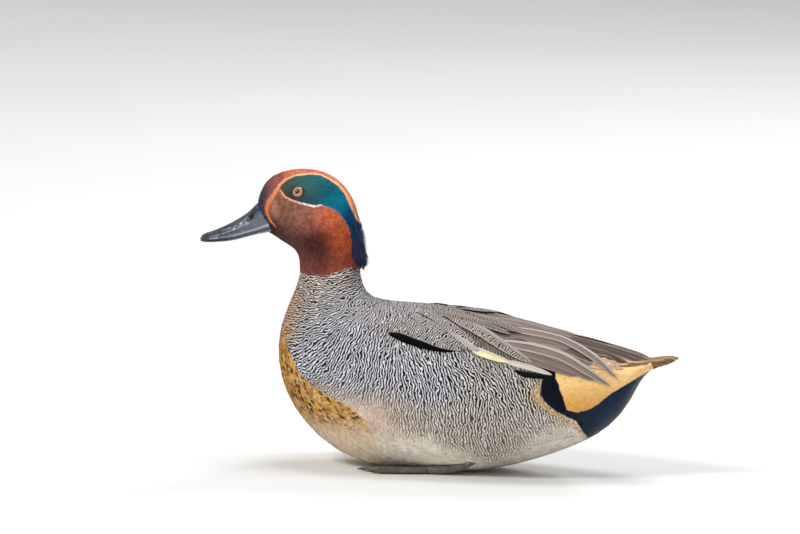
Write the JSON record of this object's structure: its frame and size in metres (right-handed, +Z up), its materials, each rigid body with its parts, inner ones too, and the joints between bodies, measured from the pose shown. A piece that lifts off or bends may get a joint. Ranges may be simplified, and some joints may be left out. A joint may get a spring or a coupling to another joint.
{
  "type": "male common teal duck",
  "caption": "Life-size still model of a male common teal duck in its swimming pose, head raised on an upright neck, resting on its belly with webbed feet tucked under.",
  "frame": {"origin": "centre of the bounding box's bottom, on the ground under the belly", "axes": "+Z up, the bill points towards -Y and the tail towards +Y, the bird's left side is +X, and it is symmetric about the plane x = 0"},
  "size_m": [0.0968, 0.2776, 0.1676],
  "materials": {
    "head_feathers": "chestnut feathers with a glossy green and blue eye patch edged in cream",
    "body_feathers": "fine wavy black lines on pale grey feathers, spotted buff breast",
    "wing_feathers": "grey-brown vanes with pale edges and dark shafts",
    "tail_feathers": "creamy buff and black feathers",
    "bill_horn": "slate-black horn with a soft sheen",
    "eye": "wet gloss, brown iris and black pupil",
    "leg_skin": "olive-grey scaled skin and web"
  },
  "bodies": {
    "root": {"head": "head_feathers", "crest": "head_feathers", "neck": "body_feathers", "trunk": "body_feathers", "tail": "tail_feathers", "wing_left": "wing_feathers", "wing_right": "wing_feathers", "primaries_left": "wing_feathers", "primaries_right": "wing_feathers", "bill_upper": "bill_horn", "bill_lower": "bill_horn", "eye_left": "eye", "eye_right": "eye", "leg_left": "leg_skin", "leg_right": "leg_skin", "foot_left": "leg_skin", "foot_right": "leg_skin"}
  },
  "joints": []
}
